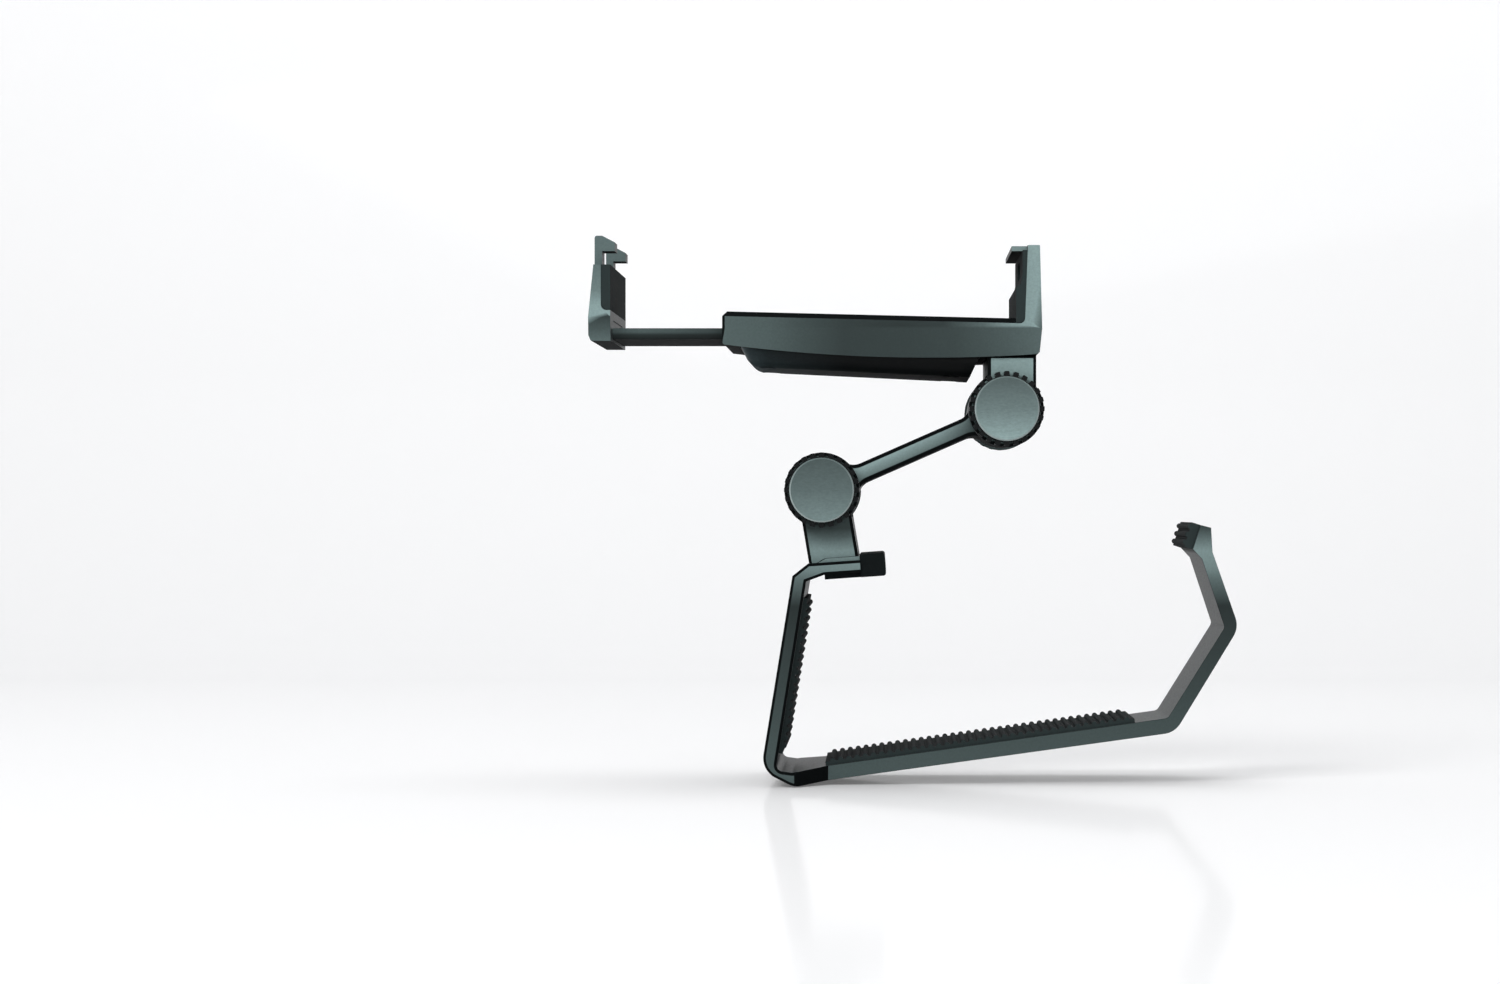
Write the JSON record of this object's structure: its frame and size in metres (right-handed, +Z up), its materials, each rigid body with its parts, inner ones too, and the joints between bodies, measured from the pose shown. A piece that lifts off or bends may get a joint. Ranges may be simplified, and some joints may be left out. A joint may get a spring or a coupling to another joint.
{
  "type": "controller phone clip",
  "caption": "Spring phone clamp on a hinged link arm with toothed thumb knobs, standing on a C-shaped cradle that grips a game controller.",
  "frame": {"origin": "middle of the rubber face under the saddle, where the clip rests on the top of the controller", "axes": "+X rearward, from the controller's bumpers towards the player; +Y from the near side in the picture to the far side, along the pivot axes; +Z up"},
  "size_m": [0.1173, 0.0448, 0.0993],
  "materials": {
    "graphite_plastic": "satin",
    "black_plastic": "satin",
    "cap_plastic": "satin, finely brushed",
    "black_rubber": "matte",
    "nylon": "matte",
    "steel": "plain"
  },
  "bodies": {
    "cradle_body": {"cradle": "graphite_plastic", "saddle_pad": "black_rubber", "front_pad": "black_rubber", "bottom_pad": "black_rubber", "hook_pad": "black_rubber", "lower_washers": "nylon"},
    "lower_near_set": {"lower_near_knob": "black_plastic", "lower_near_cap": "cap_plastic", "lower_bolt": "steel"},
    "lower_far_set": {"lower_far_knob": "black_plastic", "lower_far_cap": "cap_plastic", "lower_nut": "steel"},
    "arm": {"link_arm": "graphite_plastic"},
    "clamp_base": {"clamp_housing": "graphite_plastic", "clamp_cover": "black_plastic", "cover_screws": "steel", "fixed_jaw_pad": "black_rubber", "clamp_neck": "graphite_plastic", "neck_screws": "steel", "upper_washers": "nylon", "spring_anchor": "steel", "return_spring": "steel"},
    "upper_near_set": {"upper_near_knob": "black_plastic", "upper_near_cap": "cap_plastic", "upper_bolt": "steel"},
    "upper_far_set": {"upper_far_knob": "black_plastic", "upper_far_cap": "cap_plastic", "upper_nut": "steel"},
    "moving_jaw": {"sliding_jaw": "graphite_plastic", "sliding_jaw_pad": "black_rubber", "slide_plate": "black_plastic", "jaw_screws": "steel"}
  },
  "joints": [
    {"name": "lower_pivot", "type": "hinge", "parent": "cradle_body", "child": "arm", "pos_m": [-0.004, 0, 0.0159], "axis": [0, -1, 0], "range_deg": [-10, 100]},
    {"name": "upper_pivot", "type": "hinge", "parent": "arm", "child": "clamp_base", "pos_m": [0.02924, 0, 0.03049], "axis": [0, 1, 0], "range_deg": [-12, 160]},
    {"name": "jaw_slide", "type": "slide", "parent": "clamp_base", "child": "moving_jaw", "axis": [1, 0, 0], "range_m": [-0.006, 0.0199], "stiffness_N_per_m": 80, "springref_m": 0.0375, "deforming": ["return_spring"]},
    {"name": "lower_near_knob_turn", "type": "hinge", "parent": "cradle_body", "child": "lower_near_set", "pos_m": [-0.004, 0, 0.0159], "axis": [0, -1, 0], "range_deg": [0, 180]},
    {"name": "lower_far_knob_turn", "type": "hinge", "parent": "cradle_body", "child": "lower_far_set", "pos_m": [-0.004, 0, 0.0159], "axis": [0, 1, 0], "range_deg": [0, 180]},
    {"name": "upper_near_knob_turn", "type": "hinge", "parent": "clamp_base", "child": "upper_near_set", "pos_m": [0.02924, 0, 0.03049], "axis": [0, -1, 0], "range_deg": [0, 180]},
    {"name": "upper_far_knob_turn", "type": "hinge", "parent": "clamp_base", "child": "upper_far_set", "pos_m": [0.02924, 0, 0.03049], "axis": [0, 1, 0], "range_deg": [0, 180]}
  ]
}
